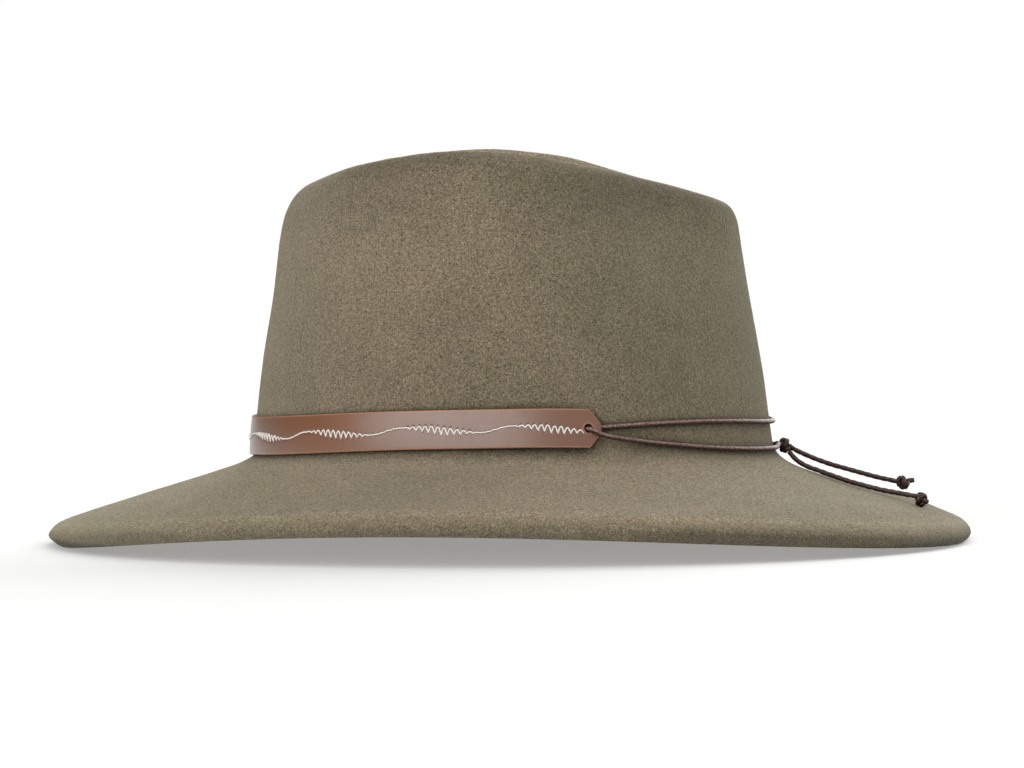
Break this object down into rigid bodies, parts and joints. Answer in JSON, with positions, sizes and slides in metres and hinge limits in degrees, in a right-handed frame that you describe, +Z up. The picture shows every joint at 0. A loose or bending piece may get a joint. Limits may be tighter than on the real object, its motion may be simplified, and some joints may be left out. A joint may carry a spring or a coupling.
{
  "type": "felt hat",
  "caption": "Wide-brimmed felt hat with a dented, side-pinched crown, a stitched leather band with pointed, holed ends, and a waxed cord tied in a knot with loose tails",
  "frame": {"origin": "on the surface that the brim rests on, below the middle of the hat's length and width", "axes": "+X runs along the hat's length to the pinched end of the crown, where the cord is knotted; +Z is up; -Y is the side with the band's end that the picture shows"},
  "size_m": [0.3626, 0.3274, 0.1546],
  "materials": {
    "felt": "fuzzy olive-brown wool felt, matt",
    "leather": "smooth mid-brown leather, satin",
    "cord": "dark brown waxed cotton cord, satin"
  },
  "bodies": {
    "root": {"felt_body": "felt", "leather_band": "leather", "tie_cord": "cord", "tie_knot": "cord", "cord_tail_near": "cord", "cord_tail_far": "cord", "end_knot_near": "cord", "end_knot_far": "cord"}
  },
  "joints": []
}
